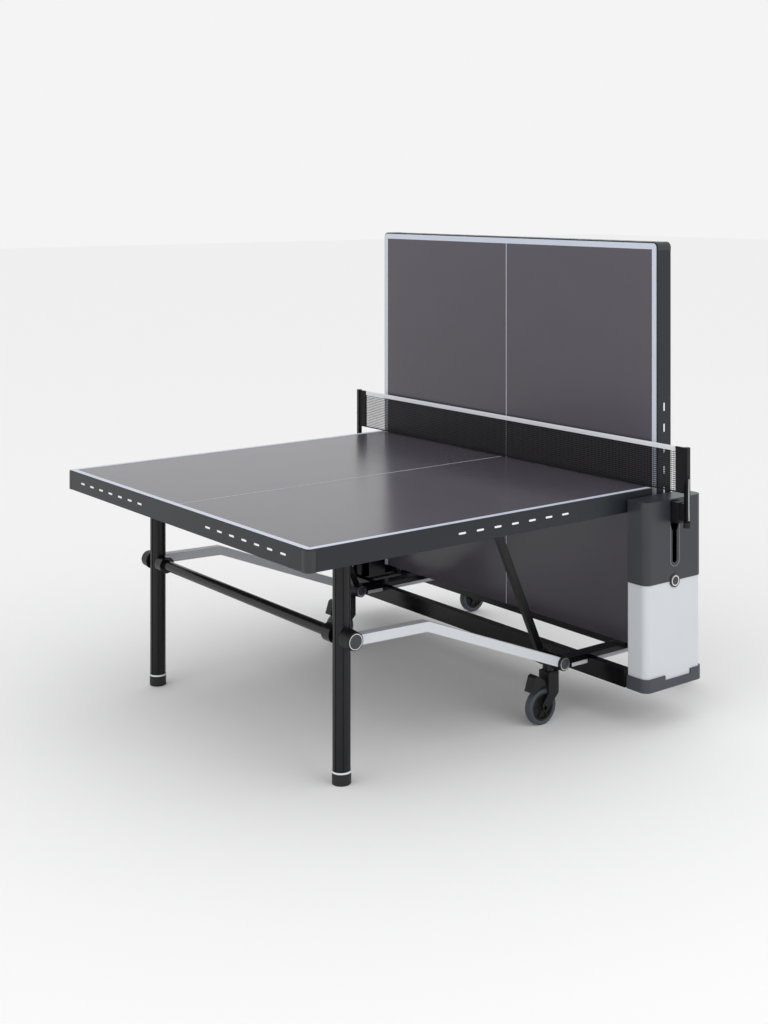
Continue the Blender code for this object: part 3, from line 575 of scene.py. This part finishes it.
def dress_pivots():
    for half in HALVES:
        end = -1 if half == "near" else 1
        for tag, side in SIDES:
            node = f"{half}_arm_{tag}"
            arm_low, arm_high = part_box(node)
            x_in, x_out = (arm_low.x, arm_high.x) if side > 0 else (arm_high.x, arm_low.x)
            base_y = BASE_HUB_Y * end + NET_Y
            for where, y, z, r in (("base", base_y, BASE_HUB_Z, BASE_HUB_R),
                                   ("leg", *LEG_HUB[half], LEG_HUB_R)):
                pivot_hub(f"{half}_{where}_pivot_{tag}", (x_in, y, z), (x_out, y, z), r, f"{half}_arms")
            pivot_hub(f"{half}_strut_pivot_{tag}", (side * STRUT_HUB_BACK, base_y, BASE_HUB_Z),
                      (side * STRUT_HUB_FACE, base_y, BASE_HUB_Z), BASE_HUB_R, f"{half}_struts")


# ---- legs and feet ------------------------------------------------------------------------------
LEG_D = NET_Y - middle("near_leg_left").y
LEG_HINGE_H = PLAY_Z - joint_place("near_leg_hinge").z
STRUT_D = NET_Y - joint_place("near_strut_hinge").y
LEG_HALF = 0.027               # half across the leg's round profile
BRACKET_OUT = 0.008            # from the leg's side to its bracket's outer face
LEG_BRACKET_X = middle("near_leg_right").x + LEG_HALF + BRACKET_OUT
LUG_OUTER_X = 0.513            # outer face of the strut's lug; the bolt sits on its inner face
LUG_THICK = 0.006
STRUT_LUG_X = LUG_OUTER_X - LUG_THICK
SIDE_RAIL_X = middle("caster_fork_near_right").x
SIDE_RAIL_HALF = 0.025
SIDE_RAIL_BOTTOM = joint_place("swivel_near_left").z
RAIL_CLEAR_Y = 0.147           # outer faces of the cross tubes

FOOT_RING_TALL = 0.005
FOOT_RING_PROUD = 0.0006
FOOT_RING_WALL = 0.002
FOOT_RING_DROP = 0.0008        # below the foot's top


def dress_feet():
    for half, tag, side in CORNERS:
        node = f"{half}_foot_{tag}"
        base = middle(node)
        radius = (high(node).x - low(node).x) / 2 + FOOT_RING_PROUD
        top = high(node).z - FOOT_RING_DROP
        inner = radius - FOOT_RING_WALL
        ring = [(inner, top - FOOT_RING_TALL), (radius, top - FOOT_RING_TALL), (radius, top), (inner, top)]
        piece(f"{half}_foot_ring_{tag}", turned(ring, (base.x, base.y, 0), (0, 0, 1)), NYLON_WHITE,
              f"{half}_foot_{tag}")


# ---- base rails ---------------------------------------------------------------------------------
HIGHLIGHT_STRIP_THICK = 0.0025
HIGHLIGHT_STRIP_TALL = 0.012
HIGHLIGHT_STRIP_SINK = 0.0003
HIGHLIGHT_STRIP_BREAK = 0.034             # bare stretch of rail at each cross tube
RAIL_INSET = 0.045             # from a painted highlight strip's end to the hub


def paint_rail_highlights():
    """Pale strips along the lower edges of the base's side rails: painted highlight where light catches the
    rails.
    """
    bottom, hub = SIDE_RAIL_BOTTOM, BASE_HUB_Y - BASE_HUB_R - RAIL_INSET
    for tag, side in SIDES:
        made = []
        for face in (-1, 1):
            x = side * SIDE_RAIL_X + face * (SIDE_RAIL_HALF + HIGHLIGHT_STRIP_THICK / 2)
            half = HIGHLIGHT_STRIP_THICK / 2 + HIGHLIGHT_STRIP_SINK
            between = RAIL_CLEAR_Y - HIGHLIGHT_STRIP_BREAK
            for y0, y1 in ((-hub, -RAIL_CLEAR_Y), (-between, between), (RAIL_CLEAR_Y, hub)):
                made.append(box((x - half, NET_Y + y0, bottom), (x + half, NET_Y + y1, bottom + HIGHLIGHT_STRIP_TALL)))
        # Painted highlight: pale silver boxes that stand for light caught along the rails' lower edges.
        piece(f"rail_painted_highlight_{tag}", joined(made), SILVER_COAT, "base", bevel=0.4 * MM)


BOLT_R = 0.0055
BOLT_TALL = 0.0035
WASHER_R = BOLT_R * 1.55
WASHER_THICK = 0.0008
WASHER_SINK = 0.001
WASHER = [(0, -WASHER_SINK), (WASHER_R, -WASHER_SINK), (WASHER_R, WASHER_THICK), (0, WASHER_THICK)]
BOLT_HEAD = [(0, 0), (BOLT_R, 0), (BOLT_R, BOLT_TALL - 0.0006), (BOLT_R - 0.0008, BOLT_TALL),
             (0, BOLT_TALL)]


def bolt(place, axis):
    """A hexagon bolt head on a thin washer."""
    return [turned(WASHER, place, axis, 24), turned(BOLT_HEAD, place, axis, 6)]


def dress_bolts():
    """Bolt heads on the leg brackets, facing out, and on the strut lugs, facing in."""
    for half in HALVES:
        made = []
        for side in (-1, 1):
            for d, x, facing in ((LEG_D, LEG_BRACKET_X, side), (STRUT_D, STRUT_LUG_X, -side)):
                made += bolt(FLAT[half] @ Vector((side * x, d, -LEG_HINGE_H)), (facing, 0, 0))
        piece(f"{half}_hinge_bolts", joined(made), ZINC, f"{half}_top", smooth=20)


# ---- casters ------------------------------------------------------------------------------------
AXLE_BORE_R = 0.0068
WHEEL_HUB_R = 0.016
WHEEL_HUB_ROOT_R = 0.018
WHEEL_RIBS = 6
RIB_FROM_R = 0.014
RIB_HALF = 0.0015
WHEEL_STEPS = 56
NUT_SINK = 0.002               # into the fork's side
AXLE_NUT = [(0, -0.004), (0.0085, -0.004), (0.0085, 0.001), (0.007, 0.002), (0, 0.002)]


def dress_casters():
    for half, tag, side in CORNERS:
        node = f"wheel_{half}_{tag}"
        center = middle(node)
        r = (high(node).z - low(node).z) / 2
        w = (high(node).x - low(node).x) / 2
        tread = [(r * 0.74, -w * 0.80), (r * 0.88, -w * 0.96), (r * 0.96, -w * 0.80), (r * 0.995, -w * 0.45),
                 (r, 0), (r * 0.995, w * 0.45), (r * 0.96, w * 0.80), (r * 0.88, w * 0.96),
                 (r * 0.74, w * 0.80)]
        piece(f"tyre_{half}_{tag}", turned(tread, center, (1, 0, 0), WHEEL_STEPS), TYRE_RUBBER,
              f"wheel_{half}_{tag}", replaces=[node])
        half_rim = [(AXLE_BORE_R, w), (WHEEL_HUB_R, w), (WHEEL_HUB_ROOT_R, w * 0.55), (r * 0.60, w * 0.45),
                    (r * 0.66, w * 0.86), (r * 0.745, w * 0.86)]
        rim = [(radius, -along) for radius, along in half_rim] + half_rim[::-1]
        made = [turned(rim, center, (1, 0, 0), WHEEL_STEPS)]
        for i in range(WHEEL_RIBS):
            rib = box((-w * 0.80, RIB_FROM_R, -RIB_HALF), (w * 0.80, r * 0.66, RIB_HALF))
            rib.transform(Matrix.Translation(center) @ Matrix.Rotation(i * math.tau / WHEEL_RIBS, 4, "X"))
            made.append(rib)
        piece(f"wheel_rim_{half}_{tag}", joined(made), NYLON_BLACK, f"wheel_{half}_{tag}")
        fork = f"caster_fork_{half}_{tag}"
        stem = joint_place(f"swivel_{half}_{tag}")
        nuts = []
        for face in (low(fork).x, high(fork).x):
            out = math.copysign(1, face - stem.x)
            nuts.append(turned(AXLE_NUT, (face - out * NUT_SINK, center.y, center.z), (out, 0, 0), 6))
        piece(f"axle_nuts_{half}_{tag}", joined(nuts), BLACK_COAT, f"caster_{half}_{tag}",
              smooth=20)


# ---- net ----------------------------------------------------------------------------------------
MESH_CELL = 0.0068
YARN = 0.0018                  # drawn thicker than the real one, so that the net's darkness shows
YARN_DEEP = 0.0005
NET_END_GAP = 0.004            # from the net's box to its first and last yarn
TAPE_LAP = 0.003               # the mesh reaches this far up under the tape
TAPE_HALF = (0.0016, 0.0019, 0.0017)   # half the tape's thickness at its foot, middle and crown
TAPE_CROWN = 0.002             # from the tape's top down to where its crown starts to round
TAPE_TUCK = 0.004              # what the tape's two ends reach over the sleeves, together
SLEEVE_WIDTH = 0.040
SLEEVE_FOLDS = 14
SLEEVE_HALF = 0.0022           # half its thickness in a valley
SLEEVE_RIB = 0.0007
SLEEVE_TOP_GAP = 0.0005
POST_LAP = 0.001               # the sleeve reaches this far past the post's inner side
HEM_R = 0.0024
HEM_STEPS = 8


def net():
    lowest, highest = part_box("net")
    tape_low, tape_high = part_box("net_tape")
    x0, x1 = lowest.x + NET_END_GAP, highest.x - NET_END_GAP
    z0, z1 = lowest.z + HEM_R, tape_low.z + TAPE_LAP
    half, deep = YARN / 2, YARN_DEEP / 2
    across = round((x1 - x0) / MESH_CELL)
    up = round((z1 - z0) / MESH_CELL)
    yarns = []
    for i in range(across + 1):
        x = x0 + (x1 - x0) * i / across
        yarns.append(box((x - half, NET_Y - deep, z0), (x + half, NET_Y + deep, z1)))
    for i in range(up + 1):
        z = z0 + (z1 - z0) * i / up
        yarns.append(box((x0, NET_Y - deep, z - half), (x1, NET_Y + deep, z + half)))
    mesh = piece("net_mesh", joined(yarns), NET_YARN, "base", replaces=["net"], smooth=0)

    drop = tape_high.z - tape_low.z
    foot, belly, crown = TAPE_HALF
    top = drop - TAPE_CROWN
    fold = [(-foot, 0), (-belly, drop * 0.5), (-crown, top)]
    fold += arc((0, top), crown, 180, 0, 6)[1:-1] + [(crown, top), (belly, drop * 0.5), (foot, 0)]
    run = x1 - x0 - 2 * SLEEVE_WIDTH + TAPE_TUCK

    def band(bm):
        ends = [[bm.verts.new((x, NET_Y + y, tape_low.z + z)) for y, z in fold]
                for x in (-run / 2, run / 2)]
        count = len(fold)
        for i in range(count):
            j = (i + 1) % count
            bm.faces.new([ends[0][i], ends[0][j], ends[1][j], ends[1][i]])
        bm.faces.new(ends[0])
        bm.faces.new(ends[1])
    tape = piece("net_top_tape", mesh_of(band), TAPE, "base", replaces=["net_tape"])

    hem_line = [(x0 + (x1 - x0) * i / HEM_STEPS, NET_Y, z0) for i in range(HEM_STEPS + 1)]
    hem = piece("net_bottom_hem", tube("net_bottom_hem", hem_line, HEM_R), NET_YARN, "base")
    for tag, side in SIDES:
        post_in = high(f"net_post_{tag}").x if side < 0 else low(f"net_post_{tag}").x
        outline = []
        for i in range(SLEEVE_FOLDS * 2 + 1):
            z = z0 + (tape_high.z - SLEEVE_TOP_GAP - z0) * i / (SLEEVE_FOLDS * 2)
            outline.append((SLEEVE_HALF + SLEEVE_RIB * (i % 2), z))

        def sleeve(bm, outline=outline, post_in=post_in, side=side):
            near_x, far_x = post_in + side * POST_LAP, post_in - side * SLEEVE_WIDTH
            front = [[bm.verts.new((x, NET_Y - y, z)) for y, z in outline] for x in (near_x, far_x)]
            back = [[bm.verts.new((x, NET_Y + y, z)) for y, z in outline] for x in (near_x, far_x)]
            for sheet in (front, back):
                for i in range(len(outline) - 1):
                    bm.faces.new([sheet[0][i], sheet[0][i + 1], sheet[1][i + 1], sheet[1][i]])
            for a, b in zip(front, back):
                for i in range(len(outline) - 1):
                    bm.faces.new([a[i], a[i + 1], b[i + 1], b[i]])
            for i in (0, -1):
                bm.faces.new([front[0][i], front[1][i], back[1][i], back[0][i]])
        piece(f"net_sleeve_{tag}", mesh_of(sleeve), SLEEVE_CLOTH, "base",
                             smooth=60)


CORD_R = 0.0014
CORD_SEGMENTS = 24
CORD_OUT = 0.0022              # from the post's side to the cord's middle
CORD_NEAR = 0.002              # from the net plane, toward the near half
CORD_SWAY = 0.0012             # how far it bows the same way
CORD_SWAY_OUT = 0.3            # and outward, as a part of that
CORD_TOP_H = 0.056             # above the playing surface
CORD_FOOT_H = 0.006            # above the post's lower end
CLEAT = [(0, -0.002), (0.0045, -0.002), (0.0045, 0.001), (0.003, 0.003), (0, 0.0035)]
CLEAT_SINK = 0.001


def tension_cords():
    """White cord on the outer side of each post, from its cleat down to the clamp."""
    for tag, side in SIDES:
        post_low, post_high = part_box(f"net_post_{tag}")
        x = (post_high.x if side > 0 else post_low.x) + side * CORD_OUT
        top, bottom = PLAY_Z + CORD_TOP_H, post_low.z + CORD_FOOT_H
        points = []
        for i in range(CORD_SEGMENTS + 1):
            t = i / CORD_SEGMENTS
            sway = CORD_SWAY * math.sin(math.pi * t)
            points.append((x + side * sway * CORD_SWAY_OUT, NET_Y - CORD_NEAR - sway,
                           top + (bottom - top) * t))
        line = piece(f"tension_cord_{tag}", tube(f"tension_cord_{tag}", points, CORD_R), CORD_YARN,
                     "base")
        cleat = turned(CLEAT, (x - side * CLEAT_SINK, NET_Y - CORD_NEAR, top), (side, 0, 0), 20)
        piece(f"cord_cleat_{tag}", cleat, NYLON_BLACK, "base")


# ---- covers -------------------------------------------------------------------------------------
BADGE_R = 0.022
BADGE_RISE = 0.0035
SLOT_DEPTH = 0.210             # from the cover's top to the slot's round end
SLOT_WIDE_DEPTH = 0.085        # and to where it narrows
SLOT_TAPER = 0.020
SLOT_HALF_WIDE, SLOT_HALF_NARROW = 0.020, 0.011
BEAD_WIDTH = 0.0030
BEAD_PROUD = 0.0016
RECESS_PROUD = 0.0003
RECESS_GAP = 0.0002            # between the recess and the slot's own edge
RECESS_NECK = 0.001
COVER_SINK = 0.0005            # what the trims reach into the cover
SEAM_HALF = 0.0006
SEAM_PROUD = 0.0002
BADGE_SINK = 0.002
BADGE_EDGE = 0.001
BADGE_RING = (0.62, 0.78)      # from and to, of the badge's radius
BADGE_RING_RISE = 0.0005


def slot_recess(top):
    """The stepped floor beside the narrow part of the slot, as (y, z) points from the cover's top."""
    bottom, neck = top - SLOT_DEPTH, top - SLOT_WIDE_DEPTH
    wide, narrow = SLOT_HALF_WIDE, SLOT_HALF_NARROW
    turn = (0, bottom + narrow)
    edge = narrow + RECESS_GAP
    outer = [(-wide, neck - RECESS_NECK)] + arc(turn, wide, 180, 360, 16) + [(wide, neck - RECESS_NECK)]
    inner = [(edge, neck - SLOT_TAPER)] + arc(turn, edge, 360, 180, 16)
    return outer + inner + [(-edge, neck - SLOT_TAPER)]


def slot_bead(top):
    """The raised bead round the step."""
    bottom, neck = top - SLOT_DEPTH, top - SLOT_WIDE_DEPTH
    turn, inner, outer = (0, bottom + SLOT_HALF_NARROW), SLOT_HALF_WIDE, SLOT_HALF_WIDE + BEAD_WIDTH
    return ([(-outer, neck)] + arc(turn, outer, 180, 360, 16) + [(outer, neck), (inner, neck)]
            + arc(turn, inner, 360, 180, 16) + [(-inner, neck)])


def dress_covers():
    for tag, side in SIDES:
        upper_low, upper_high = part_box(f"cover_upper_{tag}")
        face = upper_high.x if side > 0 else upper_low.x
        split = upper_low.z
        top = upper_high.z
        upright = Matrix(((0, 0, side, face), (1, 0, 0, NET_Y), (0, 1, 0, 0), (0, 0, 0, 1)))
        piece(f"cover_slot_recess_{tag}", moved(plate(slot_recess(top), -COVER_SINK, RECESS_PROUD), upright),
              CAP_GREY, "base", smooth=0)
        # The bead's pale grey is painted highlight.
        piece(f"cover_slot_bead_{tag}", moved(plate(slot_bead(top), -COVER_SINK, BEAD_PROUD), upright),
              BEAD_PAINTED_HIGHLIGHT, "base", bevel=0.6 * MM)
        seam = box((-SEAM_HALF, split + BADGE_R, -COVER_SINK),
                   (SEAM_HALF, top - SLOT_DEPTH - SLOT_HALF_WIDE + SLOT_HALF_NARROW, SEAM_PROUD))
        piece(f"cover_seam_{tag}", moved(seam, upright), NYLON_BLACK, "base", smooth=0)
        badge = [(0, -BADGE_SINK), (BADGE_R, -BADGE_SINK), (BADGE_R, BADGE_RISE - BADGE_EDGE),
                 (BADGE_R - BADGE_EDGE, BADGE_RISE), (0, BADGE_RISE)]
        piece(f"cover_badge_{tag}", turned(badge, (face, NET_Y, split), (side, 0, 0)), CAP_GREY,
              "base")
        inner, outer = (BADGE_R * part for part in BADGE_RING)
        base, rise = BADGE_RISE - BADGE_RING_RISE, BADGE_RISE + BADGE_RING_RISE
        ring = [(inner, base), (outer, base), (outer, rise), (inner, rise)]
        piece(f"cover_badge_ring_{tag}", turned(ring, (face, NET_Y, split), (side, 0, 0)), RING_METAL,
              "base")


camera()
studio()
paint_parts()
dress_halves()
dress_pivots()
dress_feet()
paint_rail_highlights()
dress_bolts()
dress_casters()
net()
tension_cords()
dress_covers()
